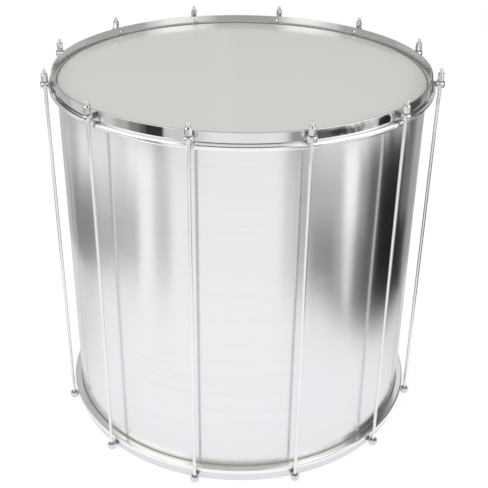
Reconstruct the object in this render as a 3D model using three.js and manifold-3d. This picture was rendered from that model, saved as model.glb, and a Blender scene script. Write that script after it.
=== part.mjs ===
// Surdo: a deep two-headed bass drum whose heads are drawn together by rods that run the
// full depth of the shell. Millimetres, +Z up. The origin is on the drum's axis at the lower
// edge of the bottom hoop, and the front faces -Y, midway between two rods.
import * as THREE from 'three';
import { mergeVertices } from 'three/addons/utils/BufferGeometryUtils.js';
import Module from 'manifold-3d';

const wasm = await Module();
wasm.setup();

// Seating and running clearance between neighbouring pieces, and how far a cut overshoots.
const FIT_GAP = 0.3;
const CUT_OVERRUN = 2;

// Shell: rolled aluminium sheet, both edges hemmed inward to make smooth bearing edges.
const SHELL_DIAMETER = 609.6;
const SHELL_DEPTH = 596;
const SHELL_WALL = 1.5;
const HEM_INNER_RADIUS = 4;
const HEM_LENGTH = 8;
const HEM_ARC_STEPS = 3;

// Heads: a flat film on the bearing edge, and a collar that turns down into the flesh hoop.
const FILM_THICKNESS = 0.4;
const FILM_OVERHANG = 0.4;
const COLLAR_HEIGHT = 3;

// Flesh hoops: the round-cornered aluminium rings that the films are bonded into.
const FLESH_HOOP_WIDTH = 12.5;
const FLESH_HOOP_HEIGHT = 10;
const FLESH_HOOP_CORNER = 3.5;
const FLESH_HOOP_ARC_STEPS = 3;

// Counter-hoops: flat chromed steel strip standing on edge, pressing on the flesh hoops.
const BAND_HEIGHT = 16;
const BAND_THICKNESS = 3;
const BAND_SETBACK = 3.5;
const BAND_EDGE_ROUND = 0.6;

// Tension rods: plain shank, rolled thread at the top, button head under the bottom ear.
const ROD_COUNT = 12;
const ROD_DIAMETER = 5.4;
const ROD_TO_HOOP_GAP = 2.8;
const ROD_TIP_STANDOUT = 7;
const ROD_TIP_CHAMFER = 0.8;
const ROD_HEAD_LIP = 2;
const ROD_HEAD_HEIGHT = 3.1;
const ROD_HEAD_LIFT = 0.6;
const ROD_SIDES = 12;
const THREAD_RISE = 0.3;
const THREAD_LENGTH = 60;

// Ears: a deep eye round the rod, on a thick neck whose stem is riveted through the
// counter-hoop.
const EYE_CLEARANCE = 0.5;
const EYE_WALL = 4.3;
const EYE_THICKNESS = 9;
const EYE_EDGE_DROP = 1;
const EYE_SIDES = 16;
const NECK_DIAMETER = 7.6;
const SHANK_DIAMETER = 5;
const SHANK_SIDES = 8;
const RIVET_LIP = 2;
const RIVET_HEAD_HEIGHT = 1.5;
const RIVET_CROWN_SHARE = 0.6;

// Tuning nuts: tall hexagons with a tapered crown, and a tapered foot that stands on the ear.
const NUT_HEIGHT = 13.2;
const NUT_WALL = 1.7;
const NUT_BORE_CLEARANCE = 0.3;
const NUT_CROWN_HEIGHT = 3;
const NUT_CROWN_INSET = 1.2;
const NUT_FOOT_HEIGHT = 2.4;
const NUT_FOOT_INSET = 1.3;
const NUT_CORNERS = 6;
const NUT_BORE_SIDES = 16;
const NUT_TURN_SHARE = 0.37;

// Every ring has an odd number of facets between rods, so that each ear meets a flat facet.
const FACETS_PER_BAY = 5;
const RING_SEGMENTS = ROD_COUNT * FACETS_PER_BAY;
const facetDepthShare = Math.cos(Math.PI / RING_SEGMENTS);

// Radii, worked outward from the shell.
const shellRadius = SHELL_DIAMETER / 2;
const filmRadius = shellRadius + FILM_OVERHANG;
const collarInnerRadius = filmRadius + FIT_GAP;
const collarOuterRadius = collarInnerRadius + FILM_THICKNESS;
const fleshHoopOuterRadius = collarInnerRadius + FLESH_HOOP_WIDTH;
const bandInnerRadius = collarInnerRadius + BAND_SETBACK;
const bandOuterRadius = bandInnerRadius + BAND_THICKNESS;
const rodRadius = ROD_DIAMETER / 2;
const threadRadius = rodRadius + THREAD_RISE;
const rodCircleRadius = fleshHoopOuterRadius + ROD_TO_HOOP_GAP + threadRadius;
const eyeHoleRadius = threadRadius + EYE_CLEARANCE;
const eyeOuterRadius = eyeHoleRadius + EYE_WALL;
const rodHeadRadius = eyeHoleRadius + ROD_HEAD_LIP;
const neckRadius = NECK_DIAMETER / 2;
const shankRadius = SHANK_DIAMETER / 2;
const rivetHeadRadius = shankRadius + RIVET_LIP;
const nutBoreRadius = threadRadius + NUT_BORE_CLEARANCE;
const nutCornerRadius = (nutBoreRadius + NUT_WALL) / Math.cos(Math.PI / NUT_CORNERS);

// Heights, worked upward from the lower edge of the bottom hoop.
const headRecess = BAND_HEIGHT + FIT_GAP - COLLAR_HEIGHT;
const shellBottom = headRecess + FILM_THICKNESS + FIT_GAP;
const shellTop = shellBottom + SHELL_DEPTH;
const rimToRimHeight = shellTop + shellBottom;
const earInset = ROD_HEAD_LIFT + ROD_HEAD_HEIGHT + FIT_GAP + EYE_THICKNESS / 2;
const topEarHeight = rimToRimHeight - earInset;
const nutSeatHeight = topEarHeight + EYE_THICKNESS / 2 + FIT_GAP;
const rodBottom = ROD_HEAD_LIFT;
const rodTop = nutSeatHeight + NUT_HEIGHT + ROD_TIP_STANDOUT;

// Finishes, one new material for each mesh.
const brushedAluminium = () => (
  new THREE.MeshStandardMaterial({ color: 0xbcbbc4, roughness: 0.38, metalness: 1 })
);
const brightAluminium = () => (
  new THREE.MeshStandardMaterial({ color: 0xdcdce0, roughness: 0.22, metalness: 1 })
);
const chromedSteel = () => (
  new THREE.MeshStandardMaterial({ color: 0xcfd1d6, roughness: 0.12, metalness: 1 })
);
const milkyFilm = () => (
  new THREE.MeshStandardMaterial({ color: 0xd8d6cf, roughness: 0.5, metalness: 0 })
);

// A profile of [radius, height] points turned round the Z axis. Its outer side runs upward.
function turned(profile, sides) {
  const points = profile.map(([radius, height]) => new THREE.Vector2(radius, height));
  return new THREE.LatheGeometry(points, sides).rotateX(Math.PI / 2);
}

// A turned ring: the profile comes back to its first point.
function turnedRing(profile, sides) {
  return turned([...profile, profile[0]], sides);
}

// Points of an arc round a centre, from one angle to another in degrees.
function arc(centreRadius, centreHeight, radius, fromDegrees, toDegrees, steps) {
  const points = [];
  for (let step = 0; step <= steps; step += 1) {
    const degrees = THREE.MathUtils.lerp(fromDegrees, toDegrees, step / steps);
    const angle = THREE.MathUtils.degToRad(degrees);
    points.push([
      centreRadius + radius * Math.cos(angle),
      centreHeight + radius * Math.sin(angle),
    ]);
  }
  return points;
}

// A closed geometry as a solid that can be joined and cut, and back again.
function solidOf(geometry) {
  const bare = geometry.clone();
  bare.deleteAttribute('normal');
  bare.deleteAttribute('uv');
  const merged = mergeVertices(bare);
  return new wasm.Manifold(new wasm.Mesh({
    numProp: 3,
    vertProperties: new Float32Array(merged.getAttribute('position').array),
    triVerts: new Uint32Array(merged.getIndex().array),
  }));
}

function geometryOf(solid) {
  const mesh = solid.getMesh();
  const geometry = new THREE.BufferGeometry();
  geometry.setAttribute('position', new THREE.BufferAttribute(mesh.vertProperties, mesh.numProp));
  geometry.setIndex(new THREE.BufferAttribute(mesh.triVerts, 1));
  geometry.computeVertexNormals();
  return geometry;
}

// The drum's angle at a rod, turning from the front through +X. Rods stand half a bay
// to each side of the front.
function rodAngle(index) {
  return ((index + 0.5) / ROD_COUNT) * 2 * Math.PI - Math.PI / 2;
}

// Shell wall with a hem at each end. The sheet bends inward over the bearing edge and runs
// a little way back, leaving a narrow slot behind it.
function shellGeometry() {
  const bend = HEM_INNER_RADIUS + SHELL_WALL;
  const bendCentre = shellRadius - bend;
  const hemFace = bendCentre - bend;
  const upperBend = shellTop - bend;
  const lowerBend = shellBottom + bend;
  return turnedRing([
    ...arc(bendCentre, upperBend, bend, 0, 180, HEM_ARC_STEPS * 2),
    [hemFace, upperBend - HEM_LENGTH],
    [hemFace + SHELL_WALL, upperBend - HEM_LENGTH],
    ...arc(bendCentre, upperBend, HEM_INNER_RADIUS, 180, 0, HEM_ARC_STEPS),
    ...arc(bendCentre, lowerBend, HEM_INNER_RADIUS, 0, -180, HEM_ARC_STEPS),
    [hemFace + SHELL_WALL, lowerBend + HEM_LENGTH],
    [hemFace, lowerBend + HEM_LENGTH],
    ...arc(bendCentre, lowerBend, bend, -180, 0, HEM_ARC_STEPS * 2),
  ], RING_SEGMENTS);
}

// Flat film, centred on its own middle plane.
function filmGeometry() {
  const half = FILM_THICKNESS / 2;
  return turned([[0, -half], [filmRadius, -half], [filmRadius, half], [0, half]], RING_SEGMENTS);
}

// Flesh hoop with the film's collar rising from its inner edge to the level of the film.
// Its own origin is at the hoop's upper face.
function fleshHoopGeometry() {
  const smallerSide = Math.min(FLESH_HOOP_WIDTH, FLESH_HOOP_HEIGHT);
  const corner = Math.min(FLESH_HOOP_CORNER, smallerSide / 2);
  const innerCentre = collarInnerRadius + corner;
  const outerCentre = fleshHoopOuterRadius - corner;
  const lowerCentre = corner - FLESH_HOOP_HEIGHT;
  return turnedRing([
    ...arc(innerCentre, lowerCentre, corner, -180, -90, FLESH_HOOP_ARC_STEPS),
    ...arc(outerCentre, lowerCentre, corner, -90, 0, FLESH_HOOP_ARC_STEPS),
    ...arc(outerCentre, -corner, corner, 0, 90, FLESH_HOOP_ARC_STEPS),
    [collarOuterRadius, 0],
    [collarOuterRadius, COLLAR_HEIGHT],
    [collarInnerRadius, COLLAR_HEIGHT],
  ], RING_SEGMENTS);
}

// Counter-hoop strip with a hole for the shank of each ear. Its own origin is at the rim
// edge, and the strip runs down from there.
function counterHoopGeometry() {
  const edge = Math.min(BAND_EDGE_ROUND, BAND_THICKNESS / 2);
  const strip = turnedRing([
    [bandInnerRadius, -BAND_HEIGHT],
    [bandOuterRadius, -BAND_HEIGHT],
    [bandOuterRadius, -edge],
    [bandOuterRadius - edge, 0],
    [bandInnerRadius + edge, 0],
    [bandInnerRadius, -edge],
  ], RING_SEGMENTS);
  const holeRadius = shankRadius + FIT_GAP;
  const holeStart = bandInnerRadius * facetDepthShare - CUT_OVERRUN;
  const holeEnd = bandOuterRadius + CUT_OVERRUN;
  const hole = turned([
    [0, holeStart],
    [holeRadius, holeStart],
    [holeRadius, holeEnd],
    [0, holeEnd],
  ], SHANK_SIDES).rotateY(Math.PI / 2);
  let solid = solidOf(strip);
  for (let index = 0; index < ROD_COUNT; index += 1) {
    const placed = hole.clone().rotateZ(rodAngle(index)).translate(0, 0, -earInset);
    solid = solid.subtract(solidOf(placed));
  }
  return geometryOf(solid);
}

// Ear: its own origin is on the rod's axis at the middle of the eye, and +X points away
// from the drum. The neck runs inward to the strip, and the stem through it to a rivet head.
function earGeometry() {
  const half = EYE_THICKNESS / 2;
  const eye = turnedRing([
    [eyeHoleRadius, -half],
    [eyeOuterRadius - EYE_EDGE_DROP, -half],
    [eyeOuterRadius, EYE_EDGE_DROP - half],
    [eyeOuterRadius, half - EYE_EDGE_DROP],
    [eyeOuterRadius - EYE_EDGE_DROP, half],
    [eyeHoleRadius, half],
  ], EYE_SIDES);
  const neckStart = eyeHoleRadius + EYE_WALL / 2;
  const neckEnd = rodCircleRadius - bandOuterRadius - FIT_GAP;
  const headSeat = rodCircleRadius - bandInnerRadius * facetDepthShare + FIT_GAP;
  const headEnd = headSeat + RIVET_HEAD_HEIGHT;
  const shank = turned([
    [0, neckStart],
    [neckRadius, neckStart],
    [neckRadius, neckEnd],
    [shankRadius, neckEnd],
    [shankRadius, headSeat],
    [rivetHeadRadius, headSeat],
    [rivetHeadRadius * RIVET_CROWN_SHARE, headEnd],
    [0, headEnd],
  ], SHANK_SIDES).rotateY(-Math.PI / 2);
  return geometryOf(solidOf(eye).add(solidOf(shank)));
}

// Tension rod from its button head to the chamfered tip of the thread.
function rodGeometry() {
  const headTop = rodBottom + ROD_HEAD_HEIGHT;
  const threadStart = rodTop - THREAD_LENGTH;
  return turned([
    [0, rodBottom],
    [rodRadius, rodBottom],
    [rodHeadRadius, rodBottom + ROD_HEAD_HEIGHT / 2],
    [rodHeadRadius, headTop],
    [rodRadius, headTop],
    [rodRadius, threadStart],
    [threadRadius, threadStart + THREAD_RISE],
    [threadRadius, rodTop - ROD_TIP_CHAMFER],
    [threadRadius - ROD_TIP_CHAMFER, rodTop],
    [0, rodTop],
  ], ROD_SIDES);
}

// Tuning nut, its own origin at its seat on the ear.
function nutGeometry() {
  const hexagon = turned([
    [0, 0],
    [nutCornerRadius - NUT_FOOT_INSET, 0],
    [nutCornerRadius, NUT_FOOT_HEIGHT],
    [nutCornerRadius, NUT_HEIGHT - NUT_CROWN_HEIGHT],
    [nutCornerRadius - NUT_CROWN_INSET, NUT_HEIGHT],
    [0, NUT_HEIGHT],
  ], NUT_CORNERS);
  const bore = turned([
    [0, -CUT_OVERRUN],
    [nutBoreRadius, -CUT_OVERRUN],
    [nutBoreRadius, NUT_HEIGHT + CUT_OVERRUN],
    [0, NUT_HEIGHT + CUT_OVERRUN],
  ], NUT_BORE_SIDES);
  return geometryOf(solidOf(hexagon).subtract(solidOf(bore)));
}

function named(name, geometry, material) {
  const mesh = new THREE.Mesh(geometry, material);
  mesh.name = name;
  return mesh;
}

// Rings and films share the drum's axis. The lower ones are the upper ones turned over.
function ringPieces() {
  const shell = named('shell', shellGeometry(), brushedAluminium());

  const film = filmGeometry();
  const topHead = named('top_head_film', film, milkyFilm());
  topHead.position.z = shellTop + FIT_GAP + FILM_THICKNESS / 2;
  const bottomHead = named('bottom_head_film', film, milkyFilm());
  bottomHead.position.z = shellBottom - FIT_GAP - FILM_THICKNESS / 2;

  const fleshHoop = fleshHoopGeometry();
  const topFleshHoop = named('top_flesh_hoop', fleshHoop, brightAluminium());
  topFleshHoop.position.z = rimToRimHeight - BAND_HEIGHT - FIT_GAP;
  const bottomFleshHoop = named('bottom_flesh_hoop', fleshHoop, brightAluminium());
  bottomFleshHoop.rotation.x = Math.PI;
  bottomFleshHoop.position.z = BAND_HEIGHT + FIT_GAP;

  const counterHoop = counterHoopGeometry();
  const topCounterHoop = named('top_counter_hoop', counterHoop, chromedSteel());
  topCounterHoop.position.z = rimToRimHeight;
  const bottomCounterHoop = named('bottom_counter_hoop', counterHoop, chromedSteel());
  bottomCounterHoop.rotation.x = Math.PI;

  return [
    shell, topHead, bottomHead, topFleshHoop, bottomFleshHoop, topCounterHoop, bottomCounterHoop,
  ];
}

// One tension station: a rod through two ears, with its nut on the upper one.
function tensionStations() {
  const ear = earGeometry();
  const rod = rodGeometry();
  const nut = nutGeometry();
  const stations = [];
  for (let index = 0; index < ROD_COUNT; index += 1) {
    const number = String(index + 1).padStart(2, '0');
    const station = new THREE.Group();
    station.rotation.z = rodAngle(index);

    const tensionRod = named(`tension_rod_${number}`, rod, chromedSteel());
    tensionRod.position.x = rodCircleRadius;

    const bottomEar = named(`bottom_ear_${number}`, ear, chromedSteel());
    bottomEar.position.set(rodCircleRadius, 0, earInset);

    const topEar = named(`top_ear_${number}`, ear, chromedSteel());
    topEar.position.set(rodCircleRadius, 0, topEarHeight);

    const tuningNut = named(`tuning_nut_${number}`, nut, chromedSteel());
    tuningNut.position.set(rodCircleRadius, 0, nutSeatHeight);
    tuningNut.rotation.z = index * NUT_TURN_SHARE * 2 * Math.PI;

    station.add(tensionRod, bottomEar, topEar, tuningNut);
    stations.push(station);
  }
  return stations;
}

const surdo = new THREE.Group();
surdo.add(...ringPieces(), ...tensionStations());

export default surdo;
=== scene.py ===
import math

import bmesh
import bpy
import numpy as np
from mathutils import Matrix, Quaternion, Vector


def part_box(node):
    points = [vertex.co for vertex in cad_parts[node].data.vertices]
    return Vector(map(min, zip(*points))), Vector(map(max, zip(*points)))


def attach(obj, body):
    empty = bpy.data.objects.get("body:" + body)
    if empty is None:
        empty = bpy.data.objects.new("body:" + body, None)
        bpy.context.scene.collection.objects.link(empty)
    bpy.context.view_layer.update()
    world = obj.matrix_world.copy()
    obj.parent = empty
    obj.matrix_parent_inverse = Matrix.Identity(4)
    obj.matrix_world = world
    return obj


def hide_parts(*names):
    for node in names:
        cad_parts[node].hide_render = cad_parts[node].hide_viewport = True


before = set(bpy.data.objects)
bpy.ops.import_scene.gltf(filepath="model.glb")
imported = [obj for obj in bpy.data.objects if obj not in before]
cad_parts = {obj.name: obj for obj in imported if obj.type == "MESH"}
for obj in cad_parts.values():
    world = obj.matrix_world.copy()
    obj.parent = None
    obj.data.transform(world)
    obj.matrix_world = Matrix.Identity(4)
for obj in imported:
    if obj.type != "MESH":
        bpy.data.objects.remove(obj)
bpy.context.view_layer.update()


# Shell.
# One sheet of aluminium rolled into a drum and lapped at the back, where spot welds hold it.
# Both edges are hemmed inward over a bead, which makes the smooth edges that the heads bear on.
# The outside was brushed round the drum while it turned.
SHELL_RADIUS = 0.3048
SHELL_WALL = 0.0015
SHELL_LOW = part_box("shell")[0].z
SHELL_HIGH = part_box("shell")[1].z
HEM_BEND = 0.0055
HEM_RUN = 0.008
LAP_STEP = 0.0005
LAP_WIDTH = 0.014
LAP_JOGGLE = 0.006
LAP_EDGE = 0.0003
LAP_FADE_START = 0.008
LAP_FADE_END = 0.020
BACK = math.pi / 2
ROUND_STEPS = 480
MERGE_REACH = 1e-6
SHARP_ANGLE = math.radians(38)
SHELL_LIGHT = (0.862, 0.858, 0.868, 1)
SHELL_DARK = (0.742, 0.738, 0.750, 1)
# The lowest few millimetres of the shell, just over the lower flesh hoop, are darkened: painted
# shade in the crease between them.
CREASE_SHADE = (0.590, 0.587, 0.570, 1)
CREASE_SHADE_FOOT = 0.0285
CREASE_SHADE_TOP = 0.0345
# About how many ripples each pattern has in a metre along X, Y and Z.
BRUSH_LINES = (5, 5, 1700)
BRUSH_PASSES = (2.2, 2.2, 42)
HAND_MARKS = (7, 7, 7)


def arc(centre, radii, start, stop, steps):
    """Points on an ellipse: centre plus each radius times the cosine or sine of an angle that
    runs evenly from start to stop, in degrees."""
    angle = np.radians(np.linspace(start, stop, steps + 1))
    wide, high = radii
    return np.stack([centre[0] + wide * np.cos(angle), centre[1] + high * np.sin(angle)], axis=1)


def turn(profile, angles):
    """A profile carried round Z: a point of radius r and height h goes to (r cos a, r sin a, h)
    at each angle a. The profile may differ from one angle to the next."""
    radius, height = np.broadcast_to(profile, (len(angles), *profile.shape[-2:])).T
    rings = np.stack([radius * np.cos(angles), radius * np.sin(angles), height], axis=-1)
    return rings.swapaxes(0, 1)


def placed(name, data):
    """A new object of the data, put in the scene."""
    made = bpy.data.objects.new(name, data)
    bpy.context.scene.collection.objects.link(made)
    return made


def skin(name, *sheets):
    """One mesh piece over grids of points. A sheet is a grid of rows and columns, then whether
    its rows and its columns run round to meet themselves. Each face joins a point to the next
    in its row and column, and points that fall together, as at a pole, are welded."""
    points, faces, first = [], [], 0
    for grid, rows_meet, columns_meet in sheets:
        rows, columns = grid.shape[:2]
        index = first + np.arange(rows * columns).reshape(rows, columns)
        quads = np.stack([
            index,
            np.roll(index, -1, axis=0),
            np.roll(index, (-1, -1), axis=(0, 1)),
            np.roll(index, -1, axis=1),
        ], axis=-1)
        quads = quads[:rows if rows_meet else rows - 1]
        quads = quads[:, :columns if columns_meet else columns - 1]
        points.append(grid.reshape(-1, 3))
        faces.append(quads.reshape(-1, 4))
        first += rows * columns
    mesh = bpy.data.meshes.new(name)
    mesh.from_pydata(np.concatenate(points).tolist(), [], np.concatenate(faces).tolist())
    shape = bmesh.new()
    shape.from_mesh(mesh)
    bmesh.ops.remove_doubles(shape, verts=shape.verts, dist=MERGE_REACH)
    bmesh.ops.recalc_face_normals(shape, faces=shape.faces)
    shape.to_mesh(mesh)
    shape.free()
    mesh.shade_smooth()
    mesh.set_sharp_from_angle(angle=SHARP_ANGLE)
    return placed(name, mesh)


def finished(piece, material, body, slot, *nodes):
    """Gives a piece its finish and the body it moves with, and hides the nodes it stands for. The
    slot is not used.
    """
    piece.data.materials.append(material)
    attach(piece, body)
    if nodes:
        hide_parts(*nodes)


class Wire:
    """A socket in a material. + - and * with numbers or other wires add Math nodes, node() adds
    a node of any other type, and into() links the wire to the material's shader."""

    def __init__(self, socket):
        self.socket = socket

    def node(self, kind, settings, inputs, out=0):
        made = self.socket.id_data.nodes.new(kind)
        for key, value in settings.items():
            setattr(made, key, value)
        for key, value in inputs.items():
            if isinstance(value, Wire):
                self.socket.id_data.links.new(value.socket, made.inputs[key])
            else:
                made.inputs[key].default_value = value
        return Wire(made.outputs[out])

    def maths(self, operation, first, second):
        return self.node("ShaderNodeMath", {"operation": operation}, {0: first, 1: second})

    def __add__(self, other):
        return self.maths("ADD", self, other)

    def __sub__(self, other):
        return self.maths("SUBTRACT", self, other)

    def __rsub__(self, other):
        return self.maths("SUBTRACT", other, self)

    def __mul__(self, other):
        return self.maths("MULTIPLY", self, other)

    __radd__ = __add__
    __rmul__ = __mul__

    def into_socket(self, end):
        self.socket.id_data.links.new(self.socket, end)

    def into(self, name):
        self.into_socket(self.socket.id_data.nodes["Principled BSDF"].inputs[name])

    def stretched(self, scale):
        """The place with each of its coordinates times its own scale."""
        return self.node("ShaderNodeVectorMath", {"operation": "MULTIPLY"}, {0: self, 1: scale})

    def from_axis(self):
        """The distance of the place from the Z axis."""
        return self.node("ShaderNodeVectorMath", {"operation": "LENGTH"},
                         {0: self.stretched((1, 1, 0))}, out=1)

    def along(self, axis):
        """How far the place lies along an axis."""
        return self.node("ShaderNodeVectorMath", {"operation": "DOT_PRODUCT"}, {0: self, 1: axis},
                         out=1)

    def noise(self, scale, detail):
        """Soft noise round one half, with about as many ripples in a metre as the scale says."""
        return self.node("ShaderNodeTexNoise", {}, {"Vector": self.stretched(scale), "Scale": 1.0,
                                                    "Detail": detail})

    def smooth(self, low, high):
        """Nought below low, one above high, and an even bend in between."""
        return self.node("ShaderNodeMapRange", {"interpolation_type": "SMOOTHSTEP"},
                         {"Value": self, "From Min": low, "From Max": high})

    def between(self, dark, light):
        """The dark colour at nought and the light one at one. The Mix node takes its colours at
        sockets 6 and 7 and gives the mixture at 2."""
        return self.node("ShaderNodeMix", {"data_type": "RGBA"},
                         {"Factor": self, 6: dark, 7: light}, out=2)

    def bump(self, strength, distance):
        self.node("ShaderNodeBump", {}, {"Strength": strength, "Distance": distance,
                                         "Height": self}).into("Normal")


def finish(name, **fixed):
    """A new material with the shader's fixed sockets set, and the wire of Object coordinates."""
    material = bpy.data.materials.new(name)
    material.use_nodes = True
    tree = material.node_tree
    for key, value in fixed.items():
        tree.nodes["Principled BSDF"].inputs[key.replace("_", " ")].default_value = value
    return material, Wire(tree.nodes.new("ShaderNodeTexCoord").outputs["Object"])


def round_angles(extra):
    """Even angles once round from the back, with more of them close to the back."""
    even = np.linspace(0, 2 * math.pi, ROUND_STEPS, endpoint=False)
    return BACK + np.unique(np.concatenate([even, np.mod(extra, 2 * math.pi)]))


lap_side = np.array([0, LAP_EDGE, LAP_WIDTH / 2, LAP_WIDTH, LAP_WIDTH + LAP_JOGGLE / 2,
                     LAP_WIDTH + LAP_JOGGLE]) / SHELL_RADIUS
shell_angles = round_angles(lap_side)
bead = SHELL_RADIUS - HEM_BEND
hem = bead - HEM_BEND
wall_rows = np.linspace(SHELL_HIGH - LAP_FADE_END, SHELL_LOW + LAP_FADE_END, 24)
fade_rows = np.linspace(LAP_FADE_START, LAP_FADE_END, 6, endpoint=False)
wall_heights = np.concatenate([SHELL_HIGH - fade_rows, wall_rows, (SHELL_LOW + fade_rows)[::-1]])
shell_profile = np.concatenate([
    arc((bead, SHELL_HIGH - HEM_BEND), (HEM_BEND, HEM_BEND), 180, 0, 20),
    np.stack([np.full(len(wall_heights), SHELL_RADIUS), wall_heights], axis=1),
    arc((bead, SHELL_LOW + HEM_BEND), (HEM_BEND, HEM_BEND), 0, -180, 20),
    [(hem, SHELL_LOW + HEM_BEND + HEM_RUN), (hem + SHELL_WALL, SHELL_LOW + HEM_BEND + HEM_RUN)],
    arc((bead, SHELL_LOW + HEM_BEND), (HEM_BEND - SHELL_WALL,) * 2, -180, 0, 12),
    arc((bead, SHELL_HIGH - HEM_BEND), (HEM_BEND - SHELL_WALL,) * 2, 0, 180, 12),
    [(hem + SHELL_WALL, SHELL_HIGH - HEM_BEND - HEM_RUN), (hem, SHELL_HIGH - HEM_BEND - HEM_RUN)],
])
from_lap = np.mod(shell_angles - BACK, 2 * math.pi) * SHELL_RADIUS
lap_rise = np.interp(from_lap, [0, LAP_EDGE, LAP_WIDTH, LAP_WIDTH + LAP_JOGGLE], [0, 1, 1, 0])
from_end = np.minimum(shell_profile[:, 1] - SHELL_LOW, SHELL_HIGH - shell_profile[:, 1])
lap_reach = np.interp(from_end, [LAP_FADE_START, LAP_FADE_END], [0, 1])
lap_reach *= shell_profile[:, 0] > bead
shell_rings = np.repeat(shell_profile[None], len(shell_angles), axis=0)
shell_rings[:, :, 0] += LAP_STEP * lap_rise[:, None] * lap_reach
brushed, place = finish("brushed_aluminium", Metallic=1.0, Anisotropic=0.75,
                        Anisotropic_Rotation=0.25)
lines = place.noise(BRUSH_LINES, detail=3)
passes = place.noise(BRUSH_PASSES, detail=3)
handling = place.noise(HAND_MARKS, detail=4)
metal_tone = (lines * 0.9 + passes * 0.3 - 0.10).between(SHELL_DARK, SHELL_LIGHT)
# The colour fades to the painted shade at the foot of the shell.
place.along((0, 0, 1)).smooth(CREASE_SHADE_FOOT, CREASE_SHADE_TOP).between(CREASE_SHADE, metal_tone).into("Base Color")
(lines * 0.06 + passes * 0.02 + handling * 0.04 + 0.13).into("Roughness")
lines.bump(strength=0.12, distance=0.0002)
finished(skin("rolled_shell", (turn(shell_rings, shell_angles), True, True)), brushed,
         "shell_and_heads", "shell_aluminium", "shell")


# Heads.
# Milky polyester film drawn over each bearing edge. It is flat inside the edge, rounds over
# it, and its collar dives between the shell and the flesh hoop that it is bonded into.
FILM_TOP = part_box("top_head_film")[1].z
FILM_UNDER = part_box("top_head_film")[0].z
DRUM_HEIGHT = SHELL_LOW + SHELL_HIGH
COLLAR_OUT = 0.0005
COLLAR_IN = 0.00015
COLLAR_DEPTH = 0.0130
FILM_LIGHT = (0.560, 0.553, 0.530, 1)
FILM_DARK = (0.542, 0.535, 0.512, 1)
FILM_CLOUD = (9, 9, 9)
FILM_GRAIN = (900, 900, 900)
FILM_STEPS = 360
# Radii of rings in the flat of the film: even ones, then two close to where it bends.
FLAT_RADIUS = 0.280
FLAT_RINGS = 15
FLAT_EDGE = (0.290, 0.296)
film_angles = np.linspace(0, 2 * math.pi, FILM_STEPS, endpoint=False)
bead_height = SHELL_HIGH - HEM_BEND
flat_radii = np.concatenate([np.linspace(0, FLAT_RADIUS, FLAT_RINGS), FLAT_EDGE])
film_foot = FILM_TOP - COLLAR_DEPTH
film_profile = np.concatenate([
    np.stack([flat_radii, np.full(len(flat_radii), FILM_TOP)], axis=1),
    arc((bead, bead_height), (HEM_BEND + COLLAR_OUT, FILM_TOP - bead_height), 90, 0, 16),
    [(SHELL_RADIUS + COLLAR_OUT, film_foot), (SHELL_RADIUS + COLLAR_IN, film_foot)],
    arc((bead, bead_height), (HEM_BEND + COLLAR_IN, FILM_UNDER - bead_height), 0, 90, 16),
    np.stack([flat_radii[::-1], np.full(len(flat_radii), FILM_UNDER)], axis=1),
])


def overturned(profile):
    """The same profile at the drum's other end: each height h becomes the drum's height less h."""
    return profile * (1, -1) + (0, DRUM_HEIGHT)


film, place = finish("milky_film", IOR=1.55, Specular_IOR_Level=0.5)
cloud = place.noise(FILM_CLOUD, detail=4)
grain = place.noise(FILM_GRAIN, detail=2)
(cloud * 1.2 - 0.1).between(FILM_DARK, FILM_LIGHT).into("Base Color")
(cloud * 0.08 + grain * 0.04 + 0.10).into("Roughness")
grain.bump(strength=0.05, distance=0.0001)
for end, profile in (("top", film_profile), ("bottom", overturned(film_profile))):
    finished(skin(end + "_head", (turn(profile, film_angles), True, False)), film,
             "shell_and_heads", "head_film", end + "_head_film")


# Flesh hoops.
# A round-cornered aluminium ring with a narrow channel, which the film's edge is bonded into
# with resin. The counter-hoop presses on its top and draws the head down.
FLESH_IN = 0.3055
FLESH_OUT = 0.3180
FLESH_TOP = 0.6079
FLESH_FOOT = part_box("top_flesh_hoop")[0].z
SHOULDER_WIDE = 0.0057
SHOULDER_HIGH = 0.0047
FOOT_ROUND_IN = 0.0012
FOOT_ROUND_OUT = 0.0028
LIP_ROUND = 0.0004
CHANNEL_IN = 0.3064
CHANNEL_OUT = 0.3087
CHANNEL_DEPTH = 0.0020
RESIN_DEPTH = 0.0009
FLESH_LIGHT = (0.945, 0.927, 0.918, 1)
FLESH_DARK = (0.880, 0.862, 0.852, 1)
# Its inner edge, next to the shell, is a little rougher, and its colour there is a faint painted
# shade.
CORNER_SHADE = (0.920, 0.912, 0.890, 1)
CORNER_SHADE_IN = 0.3060
CORNER_SHADE_OUT = 0.3085
RESIN_LIGHT = (0.720, 0.705, 0.665, 1)
RESIN_DARK = (0.600, 0.585, 0.545, 1)
RESIN_GRAIN = (160, 160, 160)
DRAW_LINES = (4, 4, 2400)
WIPE_MARKS = (11, 11, 11)
# The resin keeps just off the channel's walls, and creeps a little way up both of them.
RESIN_GAP = 0.00005
RESIN_CREEP = 0.0003
RESIN_CREEP_WIDE = 0.0006
# The film's edge from the resin up to the shell: radius, then height over the hoop's top.
COLLAR_OUTLINE = (
    (0.30700, -0.0011), (0.30730, -0.0011), (0.30700, -0.0002), (0.30600, 0.0012),
    (0.30583, 0.0019), (0.30565, 0.0019), (0.30572, 0.0010), (0.30668, -0.0003),
)


def flat_run(start, stop):
    """A straight stretch with a point close to each end, so that shading bends only there."""
    share = np.array([0.04, 0.5, 0.96])[:, None]
    return (1 - share) * np.array(start) + share * np.array(stop)


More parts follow.
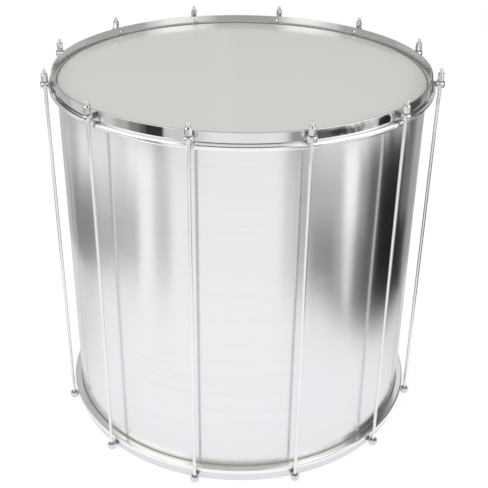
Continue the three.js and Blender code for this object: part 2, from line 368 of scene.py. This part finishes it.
inner_foot = (FLESH_IN + FOOT_ROUND_IN, FLESH_FOOT + FOOT_ROUND_IN)
outer_foot = (FLESH_OUT - FOOT_ROUND_OUT, FLESH_FOOT + FOOT_ROUND_OUT)
flesh_high = FLESH_TOP - SHOULDER_HIGH
shoulder = FLESH_OUT - SHOULDER_WIDE
flesh_profile = np.concatenate([
    arc(inner_foot, (FOOT_ROUND_IN, FOOT_ROUND_IN), 180, 270, 5),
    flat_run((inner_foot[0], FLESH_FOOT), (outer_foot[0], FLESH_FOOT)),
    arc(outer_foot, (FOOT_ROUND_OUT, FOOT_ROUND_OUT), -90, 0, 8),
    flat_run((FLESH_OUT, outer_foot[1]), (FLESH_OUT, flesh_high)),
    arc((shoulder, flesh_high), (SHOULDER_WIDE, SHOULDER_HIGH), 0, 90, 12),
    flat_run((shoulder, FLESH_TOP), (CHANNEL_OUT + LIP_ROUND, FLESH_TOP)),
    arc((CHANNEL_OUT + LIP_ROUND, FLESH_TOP - LIP_ROUND), (LIP_ROUND,) * 2, 90, 180, 4),
    [(CHANNEL_OUT, FLESH_TOP - CHANNEL_DEPTH), (CHANNEL_IN, FLESH_TOP - CHANNEL_DEPTH)],
    arc((CHANNEL_IN - LIP_ROUND, FLESH_TOP - LIP_ROUND), (LIP_ROUND,) * 2, 0, 90, 4),
    arc((FLESH_IN + LIP_ROUND, FLESH_TOP - LIP_ROUND), (LIP_ROUND,) * 2, 90, 180, 4),
    flat_run((FLESH_IN, FLESH_TOP - LIP_ROUND), (FLESH_IN, inner_foot[1])),
])
resin_top = FLESH_TOP - RESIN_DEPTH
resin_foot = FLESH_TOP - CHANNEL_DEPTH + RESIN_GAP
resin_profile = np.array([
    (CHANNEL_IN + RESIN_GAP, resin_foot),
    (CHANNEL_OUT - RESIN_GAP, resin_foot),
    (CHANNEL_OUT - RESIN_GAP, resin_top + RESIN_CREEP),
    (CHANNEL_OUT - RESIN_CREEP_WIDE, resin_top),
    (CHANNEL_IN + RESIN_CREEP_WIDE, resin_top),
    (CHANNEL_IN + RESIN_GAP, resin_top + RESIN_CREEP),
])
collar_profile = np.array(COLLAR_OUTLINE) + (0, FLESH_TOP)
drawn, place = finish("drawn_aluminium", Metallic=1.0)
draw_lines = place.noise(DRAW_LINES, detail=2)
wipe = place.noise(WIPE_MARKS, detail=3)
# Towards the shell the colour goes to the faint painted shade, and the finish grows rougher.
away_from_shell = place.from_axis().smooth(CORNER_SHADE_IN, CORNER_SHADE_OUT)
metal_tone = (draw_lines * 0.8 + wipe * 0.6 - 0.2).between(FLESH_DARK, FLESH_LIGHT)
away_from_shell.between(CORNER_SHADE, metal_tone).into("Base Color")
(draw_lines * 0.06 + wipe * 0.06 + 0.24 - away_from_shell * 0.18).into("Roughness")
draw_lines.bump(strength=0.03, distance=0.0001)
resin, place = finish("hoop_resin", IOR=1.5)
bed = place.noise(RESIN_GRAIN, detail=3)
bed.between(RESIN_DARK, RESIN_LIGHT).into("Base Color")
(bed * 0.3 + 0.25).into("Roughness")
bed.bump(strength=0.3, distance=0.0002)
for end, body, flipped in (("top", "top_hoop", False), ("bottom", "base", True)):
    for name, profile, material, slot, nodes in (
        ("flesh_ring", flesh_profile, drawn, "flesh_hoop_aluminium", [end + "_flesh_hoop"]),
        ("resin_bed", resin_profile, resin, "head_film", []),
        ("film_collar", collar_profile, film, "head_film", []),
    ):
        shown = overturned(profile) if flipped else profile
        finished(skin(end + "_" + name, (turn(shown, film_angles), True, True)), material,
                 body, slot, *nodes)


# Counter-hoops.
# Flat steel strip bent on its edge into a ring, butt-welded at the back and dressed nearly
# flush, then polished and chromed. It stands on the flesh hoop and carries the ears.
BAND_IN = 0.3090
BAND_OUT = 0.3120
BAND_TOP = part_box("top_counter_hoop")[1].z
BAND_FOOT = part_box("top_counter_hoop")[0].z
# The strip's edges are rounded more at the rim than where it presses on the flesh hoop.
BAND_ROUND = 0.0006
BAND_FOOT_ROUND = 0.0003
WELD_RISE = 0.00015
WELD_HALF = 0.0016
WELD_STEPS = 9
CHROME_LIGHT = (0.770, 0.775, 0.785, 1)
CHROME_DARK = (0.700, 0.706, 0.718, 1)
CHROME_HAZE = (14, 14, 14)
CHROME_WIPES = (30, 30, 700)
weld_side = np.linspace(-WELD_HALF, WELD_HALF, WELD_STEPS) / BAND_OUT
band_angles = round_angles(weld_side)
band_corner = (BAND_ROUND, BAND_ROUND)
band_foot_corner = (BAND_FOOT_ROUND, BAND_FOOT_ROUND)
band_low = BAND_FOOT + BAND_FOOT_ROUND
band_profile = np.concatenate([
    arc((BAND_IN + BAND_FOOT_ROUND, band_low), band_foot_corner, 180, 270, 5),
    arc((BAND_OUT - BAND_FOOT_ROUND, band_low), band_foot_corner, -90, 0, 5),
    flat_run((BAND_OUT, band_low), (BAND_OUT, BAND_TOP - BAND_ROUND)),
    arc((BAND_OUT - BAND_ROUND, BAND_TOP - BAND_ROUND), band_corner, 0, 90, 5),
    arc((BAND_IN + BAND_ROUND, BAND_TOP - BAND_ROUND), band_corner, 90, 180, 5),
    flat_run((BAND_IN, BAND_TOP - BAND_ROUND), (BAND_IN, band_low)),
])
from_weld = np.abs(np.mod(band_angles - BACK + math.pi, 2 * math.pi) - math.pi) * BAND_OUT
weld_rise = WELD_RISE * np.clip(1 - (from_weld / WELD_HALF) ** 2, 0, 1)
outward = np.where(band_profile[:, 0] > (BAND_IN + BAND_OUT) / 2, 1, -1)
chrome, place = finish("polished_chrome", Metallic=1.0)
haze = place.noise(CHROME_HAZE, detail=4)
wipes = place.noise(CHROME_WIPES, detail=3)
(haze * 1.4 - 0.2).between(CHROME_DARK, CHROME_LIGHT).into("Base Color")
(haze * 0.04 + wipes * 0.03 + 0.01).into("Roughness")
haze.bump(strength=0.04, distance=0.001)
for end, body, profile in (("top", "top_hoop", band_profile),
                           ("bottom", "base", overturned(band_profile))):
    rings = np.repeat(profile[None], len(band_angles), axis=0)
    rings[:, :, 0] += weld_rise[:, None] * outward
    finished(skin(end + "_strip_hoop", (turn(rings, band_angles), True, True)), chrome,
             body, "hoop_chrome", end + "_counter_hoop")


# Ears.
# A forged steel eye round each rod, on a shank that passes through the counter-hoop and is
# riveted over inside it. A shoulder keeps the eye off the hoop. Polished and chromed.
ROD_COUNT = 12
ROD_CIRCLE = 0.3238
EYE_HOLE = 0.0035
EYE_OUTER = 0.0076
EYE_HALF = 0.0045
EYE_SQUARENESS = 0.50
EYE_STEPS = 40
EYE_SECTION_STEPS = 20
EAR_INSET = 0.0085
NECK_RADIUS = 0.0034
SHOULDER_RADIUS = 0.0046
SHANK_RADIUS = 0.0025
STEM_START = 0.0012
STEM_STEPS = 28
SHOULDER_LENGTH = 0.0014
SHOULDER_ROUND = 0.0007
SHOULDER_RISE = 0.0003
NECK_FLARE = 0.0006
RIVET_RADIUS = 0.0044
RIVET_HEIGHT = 0.0016
RIVET_EDGE = 0.0003
SEAT = 0.00005
FORGED_LIGHT = (0.820, 0.820, 0.835, 1)
FORGED_DARK = (0.600, 0.602, 0.615, 1)
FORGE_DAPPLE = (90, 90, 90)
# The neck between hoop and eye is darkened with painted shade.
NECK_SHADE = (0.270, 0.270, 0.275, 1)
NECK_SHADE_OUT = 0.0020


def powered(value, power):
    """The value's size raised to a power, with its sign kept, which squares off a circle."""
    return np.sign(value) * np.abs(value) ** power


def stood(points, index, height):
    """Points round the rod's own axis, X outward, moved out to the rod circle, turned to the
    rod's angle about the drum and raised to a height."""
    angle = (index + 0.5) / ROD_COUNT * 2 * math.pi - math.pi / 2
    out, side, up = np.moveaxis(points, -1, 0)
    out = out + ROD_CIRCLE
    return np.stack([out * math.cos(angle) - side * math.sin(angle),
                     out * math.sin(angle) + side * math.cos(angle), up + height], axis=-1)


# The eye is a ring whose section is a squared-off ellipse.
eye_turn = np.linspace(0, 2 * math.pi, EYE_STEPS, endpoint=False)[:, None]
eye_section = np.linspace(0, 2 * math.pi, EYE_SECTION_STEPS, endpoint=False)[None]
eye_middle = (EYE_HOLE + EYE_OUTER) / 2
eye_half = (EYE_OUTER - EYE_HOLE) / 2
eye_reach = eye_middle + eye_half * powered(np.cos(eye_section), EYE_SQUARENESS)
eye_rise = EYE_HALF * powered(np.sin(eye_section), EYE_SQUARENESS)
eye = np.stack(np.broadcast_arrays(eye_reach * np.cos(eye_turn), eye_reach * np.sin(eye_turn),
                                   eye_rise), axis=-1)
band_face = ROD_CIRCLE - BAND_OUT - SEAT
rivet_seat = ROD_CIRCLE - BAND_IN + SEAT
stem_start = EYE_HOLE + STEM_START
neck_end = band_face - SHOULDER_LENGTH
shoulder_centre = (SHOULDER_RADIUS - SHOULDER_ROUND, neck_end + SHOULDER_RISE)
rivet_low = rivet_seat + RIVET_EDGE
stem_profile = np.concatenate([
    [(0, stem_start), (NECK_RADIUS, stem_start)],
    [(NECK_RADIUS, EYE_OUTER), (NECK_RADIUS, neck_end - NECK_FLARE)],
    arc(shoulder_centre, (SHOULDER_ROUND, SHOULDER_ROUND), -90, 0, 4),
    [(SHOULDER_RADIUS, band_face), (SHANK_RADIUS, band_face), (SHANK_RADIUS, rivet_seat)],
    [(RIVET_RADIUS, rivet_seat), (RIVET_RADIUS, rivet_low)],
    arc((0, rivet_low), (RIVET_RADIUS, RIVET_HEIGHT - RIVET_EDGE), 0, 90, 8),
])
stem_turn = np.linspace(0, 2 * math.pi, STEM_STEPS, endpoint=False)
stem = turn(stem_profile, stem_turn)
stem = np.stack([-stem[..., 2], stem[..., 1], stem[..., 0]], axis=-1)
forged, place = finish("forged_chrome", Metallic=1.0)
dapple = place.noise(FORGE_DAPPLE, detail=3)
eye_back = ROD_CIRCLE - EYE_OUTER
from_axis = place.from_axis()
# Painted shade on the neck, from the hoop's outer face out to the back of the eye.
outside_neck = from_axis.smooth(eye_back, eye_back + NECK_SHADE_OUT)
neck_shade_mask = from_axis.smooth(BAND_IN, BAND_OUT) * (1 - outside_neck)
metal_tone = (dapple * 1.6 - 0.3).between(FORGED_DARK, FORGED_LIGHT)
neck_shade_mask.between(metal_tone, NECK_SHADE).into("Base Color")
(dapple * 0.08 + 0.05).into("Roughness")
dapple.bump(strength=0.05, distance=0.0004)
for index in range(ROD_COUNT):
    number = "%02d" % (index + 1)
    for end, body, height in (("top", "top_hoop", DRUM_HEIGHT - EAR_INSET),
                              ("bottom", "base", EAR_INSET)):
        finished(skin("riveted_eye_" + end + "_" + number,
                      (stood(eye, index, height), True, True),
                      (stood(stem, index, height), True, False)),
                 forged, body, "hardware_chrome", end + "_ear_" + number)


# Tension rods.
# Drawn steel rods as long as the drum is deep, with a button head below and a rolled thread
# above, whose crests stand a little proud of the plain shank. Chromed before fitting.
ROD_RADIUS = 0.0027
ROD_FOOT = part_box("tension_rod_01")[0].z
ROD_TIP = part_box("tension_rod_01")[1].z
HEAD_RADIUS = 0.0053
HEAD_HEIGHT = 0.0031
HEAD_DOME = 0.0024
HEAD_EDGE = 0.0003
# The plain shank has even rings from just over the head to just under the thread.
SHANK_RINGS = 9
SHANK_FROM_HEAD = 0.003
SHANK_FROM_THREAD = 0.001
THREAD_NECK = 0.0005
THREAD_LENGTH = 0.060
THREAD_PITCH = 0.001
THREAD_ROOT = 0.00250
THREAD_CREST = 0.00298
# The ridge's root is sunk into the core, its first turn starts a share of a pitch up, and it
# rises from the core over a share of a turn. Flank and crest are half widths in pitches.
ROOT_SINK = 0.0001
START_SHARE = 0.8
RISE_SHARE = 0.75
FLANK_SHARE = 0.44
CREST_SHARE = 0.08
STEPS_IN_TURN = 16
ROD_STEPS = 24
TIP_CHAMFER = 0.0008
TIP_SLOPE_SHARE = 0.6
PLATE_LIGHT = (0.900, 0.896, 0.905, 1)
PLATE_DARK = (0.800, 0.797, 0.808, 1)
PLATE_LINES = (900, 900, 6)
PLATE_DULL = (40, 40, 9)
ridge_turns = (THREAD_LENGTH - 2 * THREAD_PITCH) / THREAD_PITCH
head_top = ROD_FOOT + HEAD_HEIGHT
thread_foot = ROD_TIP - THREAD_LENGTH
shank_heights = np.linspace(head_top + SHANK_FROM_HEAD, thread_foot - SHANK_FROM_THREAD,
                            SHANK_RINGS)
rod_profile = np.concatenate([
    arc((0, ROD_FOOT + HEAD_DOME), (HEAD_RADIUS, HEAD_DOME), -90, 0, 8),
    arc((HEAD_RADIUS - HEAD_EDGE, head_top - HEAD_EDGE), (HEAD_EDGE, HEAD_EDGE), 0, 90, 3),
    [(ROD_RADIUS + HEAD_EDGE, head_top), (ROD_RADIUS, head_top + HEAD_EDGE)],
    np.stack([np.full(SHANK_RINGS, ROD_RADIUS), shank_heights], axis=1),
    [(THREAD_ROOT, thread_foot + THREAD_NECK), (THREAD_ROOT, ROD_TIP - TIP_CHAMFER)],
    [(THREAD_ROOT - TIP_CHAMFER * TIP_SLOPE_SHARE, ROD_TIP), (0, ROD_TIP)],
])
rod_turn = np.linspace(0, 2 * math.pi, ROD_STEPS, endpoint=False)
rod = turn(rod_profile, rod_turn)
# The thread's ridge is a section of four corners carried up a helix, one pitch for each turn.
helix = np.linspace(0, ridge_turns * 2 * math.pi, int(ridge_turns * STEPS_IN_TURN) + 1)
from_end = np.minimum(helix, helix[-1] - helix)
run_out = np.clip(from_end / (RISE_SHARE * 2 * math.pi), 0, 1)
sunk_root = THREAD_ROOT - ROOT_SINK
crest = sunk_root + (THREAD_CREST - sunk_root) * run_out
flank = THREAD_PITCH * FLANK_SHARE * run_out
tooth = THREAD_PITCH * CREST_SHARE * run_out
axis_height = thread_foot + THREAD_PITCH * (START_SHARE + helix / (2 * math.pi))
root = np.full(len(helix), sunk_root)
ridge_radius = np.stack([root, crest, crest, root], axis=1)
ridge_height = axis_height[:, None] + np.stack([-flank, -tooth, tooth, flank], axis=1)
ridge = np.stack([ridge_radius * np.cos(helix)[:, None], ridge_radius * np.sin(helix)[:, None],
                  ridge_height], axis=-1)
plated, place = finish("plated_rod", Metallic=1.0)
drawn_lines = place.noise(PLATE_LINES, detail=2)
dull = place.noise(PLATE_DULL, detail=3)
(dull * 1.2 - 0.1).between(PLATE_DARK, PLATE_LIGHT).into("Base Color")
(drawn_lines * 0.06 + dull * 0.10 + 0.17).into("Roughness")
drawn_lines.bump(strength=0.06, distance=0.0001)
for index in range(ROD_COUNT):
    number = "%02d" % (index + 1)
    finished(skin("threaded_rod_" + number, (stood(rod, index, 0), True, False),
                  (stood(ridge, index, 0), False, True)),
             plated, "base", "rod_chrome", "tension_rod_" + number)


# Tuning nuts.
# Tall hexagon nuts turned from bar, each tapered to a crown above and to a foot that bears on
# the ear below, and chromed. Each is at the angle where tuning left it.
NUT_FLAT = 0.0050
NUT_HEIGHT = 0.0132
NUT_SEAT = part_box("tuning_nut_01")[0].z
NUT_EDGE = 0.00560
NUT_WIDEST = 0.00585
NUT_STEPS = 96
CROWN_HEIGHT = 0.0030
CROWN_RADIUS = 0.0046
FOOT_RADIUS = 0.0042
FOOT_HEIGHT = 0.0024
FOOT_STEP = 0.0002
BORE_RADIUS = 0.0031
BORE_MOUTH = 0.0037
BORE_FLARE = 0.0006
NUT_TURN_SHARE = 0.37
TURNED_LIGHT = (0.780, 0.780, 0.785, 1)
TURNED_DARK = (0.540, 0.542, 0.545, 1)
TOOL_LINES = (60, 60, 2600)
SMUDGES = (70, 70, 70)


def nut_surface(nut_angle):
    """Outside: at each angle the hexagon's flat distance over the cosine of the angle from the
    nearest flat's middle, but no further out than the rounded edge, the crown's taper or the
    foot's taper at that height. Inside: a plain bore with a flared mouth at each end."""
    heights = np.concatenate([
        np.linspace(0, FOOT_HEIGHT, 5),
        [FOOT_HEIGHT + FOOT_STEP, NUT_HEIGHT / 2],
        np.linspace(NUT_HEIGHT - CROWN_HEIGHT, NUT_HEIGHT, 9),
    ])
    from_flat = np.mod(nut_angle + math.pi / 6, math.pi / 3) - math.pi / 6
    hexagon = np.minimum(NUT_FLAT / np.cos(from_flat), NUT_EDGE)[:, None]
    crown_foot = NUT_HEIGHT - CROWN_HEIGHT
    crown = np.interp(heights, [crown_foot, NUT_HEIGHT], [NUT_WIDEST, CROWN_RADIUS])
    foot = np.interp(heights, [0, FOOT_HEIGHT], [FOOT_RADIUS, NUT_WIDEST])
    outside = np.minimum(hexagon, np.minimum(crown, foot)[None])
    bore_heights = np.array([NUT_HEIGHT, NUT_HEIGHT - BORE_FLARE, BORE_FLARE, 0])
    bore = np.array([BORE_MOUTH, BORE_RADIUS, BORE_RADIUS, BORE_MOUTH])
    radius = np.concatenate([outside, np.repeat(bore[None], len(nut_angle), axis=0)], axis=1)
    height = np.concatenate([heights, bore_heights])
    return np.stack([radius * np.cos(nut_angle)[:, None], radius * np.sin(nut_angle)[:, None],
                     np.broadcast_to(height, radius.shape)], axis=-1)


turned_chrome, place = finish("turned_chrome", Metallic=1.0)
tool_lines = place.noise(TOOL_LINES, detail=2)
smudge = place.noise(SMUDGES, detail=3)
(smudge * 1.4 - 0.2).between(TURNED_DARK, TURNED_LIGHT).into("Base Color")
(tool_lines * 0.05 + smudge * 0.06 + 0.05).into("Roughness")
tool_lines.bump(strength=0.05, distance=0.0001)
nut = nut_surface(np.linspace(0, 2 * math.pi, NUT_STEPS, endpoint=False))
for index in range(ROD_COUNT):
    number = "%02d" % (index + 1)
    spin = index * NUT_TURN_SHARE * 2 * math.pi + math.pi / 2
    turned_nut = np.stack([nut[..., 0] * math.cos(spin) - nut[..., 1] * math.sin(spin),
                           nut[..., 0] * math.sin(spin) + nut[..., 1] * math.cos(spin),
                           nut[..., 2]], axis=-1)
    finished(skin("hexagon_nut_" + number, (stood(turned_nut, index, NUT_SEAT), True, True)),
             turned_chrome, "nut_" + number, "hardware_chrome", "tuning_nut_" + number)


# Studio.
# A wide white table that the drum stands on, large soft lamps above it, and a screen round the
# drum, with bright and dark cards on it, which only polished and brushed metal mirrors.
TABLE_HALF = 12
# The screen in plan: degrees from the front, then metres from the drum's axis.
SCREEN_PLAN = ((-180, 0.74), (-105, 0.76), (-65, 0.90), (-20, 0.90), (20, 0.88), (45, 0.84),
               (64, 0.68), (75, 0.66), (88, 0.63), (110, 0.62), (150, 0.70), (180, 0.74))
SCREEN_HEIGHT = 1.50
# Rows of points up the screen: the lowest, the highest and how many, closest where the cards
# that the hoops mirror have their edges. Its columns stand a degree apart.
SCREEN_ROWS = ((0.001, 0.34, 30), (0.345, 0.56, 44), (0.58, SCREEN_HEIGHT, 20))
SCREEN_COLUMNS = 361
SCREEN_GLOW = 0.78
SCREEN_TINT = (1.0, 0.995, 0.970, 1)
# Each card on the screen: its sides in degrees from the front and how soft they are, its foot
# and head in metres and the height over which they fade, and its glow, where 1 is white.
# A later card covers an earlier one.
SCREEN_CARDS = (
    # The shell mirrors these, and the flesh hoops their low and middle parts.
    (-38, 19, 4, 0.00, 1.50, 0.02, 1.04),
    (-150, -104, 4, 0.00, 1.50, 0.02, 0.58),
    (-104, -55, 4, 0.00, 1.50, 0.02, 0.74),
    (-122, -88, 4, 0.00, 0.30, 0.16, 0.26),
    (-90, -55, 4, 0.00, 0.22, 0.12, 0.45),
    (-47, -39, 4, 0.00, 1.50, 0.02, 0.66),
    (-57, -48, 4, 0.00, 1.50, 0.02, 1.10),
    (-100, -47, 5, 0.28, 0.37, 0.05, 1.05),
    (-62, -46, 4, 0.28, 0.37, 0.04, 1.45),
    (-46, -38, 3, 0.29, 0.37, 0.04, 0.95),
    (26, 52, 4, 0.00, 1.50, 0.02, 0.54),
    (34, 48, 4, 0.00, 0.20, 0.07, 0.19),
    (48, 54, 3, 0.00, 0.18, 0.08, 0.36),
    (28, 47, 3, 0.345, 0.394, 0.012, 1.15),
    (47, 52, 3, 0.350, 0.408, 0.012, 1.15),
    (52, 57, 3, 0.360, 0.424, 0.012, 1.15),
    (58, 65, 4, 0.00, 1.50, 0.02, 0.38),
    (58, 66, 4, 0.00, 0.23, 0.06, 0.19),
    (64, 74, 4, 0.00, 1.50, 0.02, 0.105),
    (53, 58, 3, 0.08, 1.50, 0.14, 0.90),
    (51, 58, 3, 0.24, 1.50, 0.08, 1.20),
    (73, 95, 3, 0.00, 1.50, 0.02, 0.012),
    (95, 107, 4, 0.00, 1.50, 0.02, 0.17),
    (92, 108, 3, 0.00, 0.215, 0.03, 0.03),
    (107, 128, 4, 0.00, 1.50, 0.02, 0.42),
    (168, 196, 4, 0.00, 1.50, 0.02, 0.45),
    # The upper counter-hoop mirrors these.
    (-130, -100, 6, 0.36, 0.50, 0.02, 0.56),
    (-100, -67, 6, 0.36, 0.50, 0.02, 0.76),
    (-67, -59, 6, 0.36, 0.50, 0.02, 0.52),
    (-59, -46, 5, 0.36, 0.50, 0.02, 0.27),
    (-52, -46, 4, 0.36, 0.50, 0.02, 0.12),
    (-48.5, -39, 1.5, 0.36, 0.50, 0.02, 0.04),
    (-39, 22, 1.5, 0.36, 0.50, 0.02, 0.76),
    (-20, 19, 12, 0.36, 0.50, 0.02, 1.02),
    (20, 35, 5, 0.37, 0.50, 0.02, 0.39),
    (32, 41, 4, 0.381, 0.50, 0.006, 0.11),
    (40, 46, 3, 0.385, 0.42, 0.006, 0.025),
    (40, 49.5, 3, 0.394, 0.50, 0.006, 0.025),
    (49.5, 53, 2, 0.403, 0.53, 0.006, 0.12),
    (53, 55.5, 2, 0.412, 0.53, 0.006, 0.17),
    (55.5, 57.5, 2, 0.419, 0.53, 0.006, 0.23),
    (57.5, 64.5, 1.5, 0.432, 0.53, 0.01, 0.66),
    (64.5, 73.5, 1.5, 0.444, 0.53, 0.006, 0.02),
    (73.5, 87, 3, 0.435, 0.53, 0.02, 0.42),
    (87, 102, 4, 0.432, 0.54, 0.02, 0.09),
    (102, 130, 8, 0.422, 0.54, 0.02, 0.36),
    # The bright upper part of that hoop on the right.
    (31, 43, 3, 0.407, 0.52, 0.006, 0.95),
    (42, 46, 2, 0.409, 0.52, 0.006, 0.95),
    (46, 49, 2, 0.4145, 0.52, 0.006, 0.95),
    (49, 52, 2, 0.422, 0.52, 0.006, 1.15),
    (52, 55, 2, 0.432, 0.52, 0.006, 1.05),
    (55, 58, 2, 0.443, 0.52, 0.006, 0.95),
    (58, 62, 2, 0.452, 0.52, 0.006, 0.95),
    (62, 67, 3, 0.467, 0.52, 0.006, 0.85),
    (67, 73, 3, 0.474, 0.52, 0.006, 0.75),
    # The upper flesh hoop's ledge on the right.
    (57, 62, 3, 0.385, 0.430, 0.006, 1.15),
    (62, 76, 3, 0.416, 0.443, 0.004, 1.15),
    (80, 95, 4, 0.415, 0.450, 0.012, 0.60),
    # Rounded edges and shoulders mirror the upper part of the screen.
    (-180, -95, 10, 0.56, 1.50, 0.06, 0.55),
    (-90, -33, 8, 0.56, 1.50, 0.06, 1.15),
    (-34, 20, 5, 0.52, 1.50, 0.03, 0.50),
    (-30, 18, 5, 0.76, 1.04, 0.05, 0.03),
    (24, 82, 8, 0.56, 1.50, 0.06, 1.15),
    (88, 180, 10, 0.56, 1.50, 0.06, 0.55),
    (-80, -26, 8, 0.54, 0.66, 0.03, 1.60),
    (26, 80, 8, 0.54, 0.66, 0.03, 1.60),
    (-24, 18, 6, 0.54, 0.66, 0.03, 0.88),
    # The upper hoop's far inner face mirrors these by way of the glossy head.
    (-140, -80, 8, 0.76, 1.04, 0.05, 0.10),
    (78, 140, 8, 0.76, 1.04, 0.05, 0.10),
    (-66, -36, 24, 0.80, 0.98, 0.10, 3.5),
    (34, 64, 24, 0.80, 0.98, 0.10, 3.0),
)
WHITE = (1, 1, 1, 1)
# The table glows for the camera and for metal, which mirrors it slightly tinted.
TABLE_WHITE = (0.95, 0.95, 0.95, 1)
FLOOR_GLOW = 0.75
FLOOR_STRENGTH = 1.10
FLOOR_TINT = (0.980, 0.972, 1.0, 1)
# Metal mirrors it dimmer behind the drum, where Y passes from one value to the other.
FLOOR_FAR_GLOW = 0.72
FAR_START = -0.20
FAR_END = 0.15
# Metal also mirrors a shade on it at the foot of the dark cards on the right, along X.
SHADE_START = 0.49
SHADE_END = 0.64
# The world's level as a light, and as the ceiling that metal mirrors. The camera sees white.
WORLD_LIGHT = 0.62
CEILING = 0.80
# Each lamp's name, place, width and power.
LAMPS = (
    ("overhead", (-0.3, -0.2, 3.2), 2.6, 34),
    ("left_key", (-2.4, -1.8, 2.2), 1.6, 24),
    ("right_fill", (2.6, -1.4, 2.0), 1.4, 20),
)


def unshaded(name):
    """A new material without a shader, and its nodes."""
    material = bpy.data.materials.new(name)
    material.use_nodes = True
    material.node_tree.nodes.remove(material.node_tree.nodes["Principled BSDF"])
    return material, material.node_tree


def eased(value, low, high):
    """Nought below low, one above high, and three squares less two cubes in between."""
    share = np.clip((value - low) / (high - low), 0, 1)
    return share * share * (3 - 2 * share)


side = np.linspace(-180, 180, SCREEN_COLUMNS)[:, None]
rise = np.concatenate([np.linspace(*rows) for rows in SCREEN_ROWS])[None]
turned_to = np.radians(side - 90)
stand_off = np.interp(side, *np.array(SCREEN_PLAN).T)
screen_grid = np.stack(np.broadcast_arrays(stand_off * np.cos(turned_to),
                                           stand_off * np.sin(turned_to), rise), axis=-1)
glow_level = np.full(screen_grid.shape[:2], SCREEN_GLOW)
for start, stop, softness, foot, head, fade, card_glow in SCREEN_CARDS:
    half = softness / 2
    across = eased(side, start - half, start + half) * eased(-side, -stop - half, half - stop)
    upward = eased(rise, foot - fade, foot) * eased(-rise, -head, fade - head)
    glow_level += (card_glow - glow_level) * across * upward
screen_mesh = bpy.data.meshes.new("screen")
rows, columns = glow_level.shape
corner_of = np.arange(rows * columns).reshape(rows, columns)
screen_faces = np.stack([corner_of[:-1, :-1], corner_of[1:, :-1], corner_of[1:, 1:],
                         corner_of[:-1, 1:]], axis=-1).reshape(-1, 4)
screen_mesh.from_pydata(screen_grid.reshape(-1, 3).tolist(), [], screen_faces.tolist())
screen_mesh.attributes.new("glow", "FLOAT", "POINT").data.foreach_set(
    "value", glow_level.astype(np.float32).ravel())
screen = placed("screen", screen_mesh)
screen_material, tree = unshaded("screen")
painted = tree.nodes.new("ShaderNodeAttribute")
painted.attribute_name = "glow"
glow = tree.nodes.new("ShaderNodeEmission")
glow.inputs["Color"].default_value = SCREEN_TINT
tree.links.new(painted.outputs["Fac"], glow.inputs["Strength"])
tree.links.new(glow.outputs[0], tree.nodes["Material Output"].inputs["Surface"])
screen.data.materials.append(screen_material)
for setting in ("camera", "diffuse", "transmission", "volume_scatter", "shadow"):
    setattr(screen, "visible_" + setting, False)

floor_grid = np.array([[(-TABLE_HALF, -TABLE_HALF, 0), (-TABLE_HALF, TABLE_HALF, 0)],
                       [(TABLE_HALF, -TABLE_HALF, 0), (TABLE_HALF, TABLE_HALF, 0)]], float)
floor = skin("table_top", (floor_grid, False, False))
floor_material, tree = unshaded("white_table")
matt = tree.nodes.new("ShaderNodeBsdfDiffuse")
matt.inputs["Color"].default_value = TABLE_WHITE
glow = tree.nodes.new("ShaderNodeEmission")
path = tree.nodes.new("ShaderNodeLightPath")
mirrored = Wire(path.outputs["Is Glossy Ray"])
place = Wire(tree.nodes.new("ShaderNodeTexCoord").outputs["Object"])
dimming = mirrored * place.along((0, 1, 0)).smooth(FAR_START, FAR_END) * (1 - FLOOR_FAR_GLOW)
shade = mirrored * place.along((1, 0, 0)).smooth(SHADE_START, SHADE_END)
((1 - dimming) * (1 - shade) * FLOOR_STRENGTH).into_socket(glow.inputs["Strength"])
mirrored.between(WHITE, FLOOR_TINT).into_socket(glow.inputs["Color"])
seen = mirrored.maths("MAXIMUM", Wire(path.outputs["Is Camera Ray"]), mirrored)
mixed = tree.nodes.new("ShaderNodeMixShader")
(seen * FLOOR_GLOW).into_socket(mixed.inputs[0])
tree.links.new(matt.outputs[0], mixed.inputs[1])
tree.links.new(glow.outputs[0], mixed.inputs[2])
tree.links.new(mixed.outputs[0], tree.nodes["Material Output"].inputs["Surface"])
floor.data.materials.append(floor_material)

world = bpy.data.worlds.new("studio")
bpy.context.scene.world = world
world.use_nodes = True
tree = world.node_tree
path = tree.nodes.new("ShaderNodeLightPath")
seen = Wire(path.outputs["Is Camera Ray"]) * (1 - WORLD_LIGHT)
ceiling = Wire(path.outputs["Is Glossy Ray"]) * (CEILING - WORLD_LIGHT)
(seen + ceiling + WORLD_LIGHT).into_socket(tree.nodes["Background"].inputs["Strength"])
tree.nodes["Background"].inputs["Color"].default_value = WHITE

for name, stands_at, size, power in LAMPS:
    lamp = bpy.data.lights.new(name, "AREA")
    lamp.shape = "SQUARE"
    lamp.size = size
    lamp.energy = power
    holder = placed(name, lamp)
    holder.location = stands_at
    holder.visible_glossy = False
    aim = Vector((0, 0, DRUM_HEIGHT / 2)) - Vector(stands_at)
    holder.rotation_euler = aim.to_track_quat("-Z", "Y").to_euler()

CAMERA_DISTANCE = 1.62596
CAMERA_ELEVATION = math.radians(27.891)
CAMERA_SIDE = math.radians(-2.2166)
CAMERA_ROLL = math.radians(0.6405)
CAMERA_TARGET = Vector((0, 0, 0.3117))
CAMERA_SENSOR = 36
CAMERA_LENS = 65.76
CAMERA_SHIFT = (0.00736, -0.03037)
away = Vector((math.sin(CAMERA_SIDE) * math.cos(CAMERA_ELEVATION),
               -math.cos(CAMERA_SIDE) * math.cos(CAMERA_ELEVATION), math.sin(CAMERA_ELEVATION)))
camera_data = bpy.data.cameras.new("photo_view")
camera_data.sensor_width = CAMERA_SENSOR
camera_data.lens = CAMERA_LENS
camera_data.shift_x, camera_data.shift_y = CAMERA_SHIFT
camera = placed("photo_view", camera_data)
camera.location = CAMERA_TARGET + away * CAMERA_DISTANCE
camera.rotation_mode = "QUATERNION"
camera.rotation_quaternion = (-away).to_track_quat("-Z", "Y") @ Quaternion((0, 0, 1), CAMERA_ROLL)
bpy.context.scene.camera = camera
bpy.context.scene.view_settings.view_transform = "Standard"
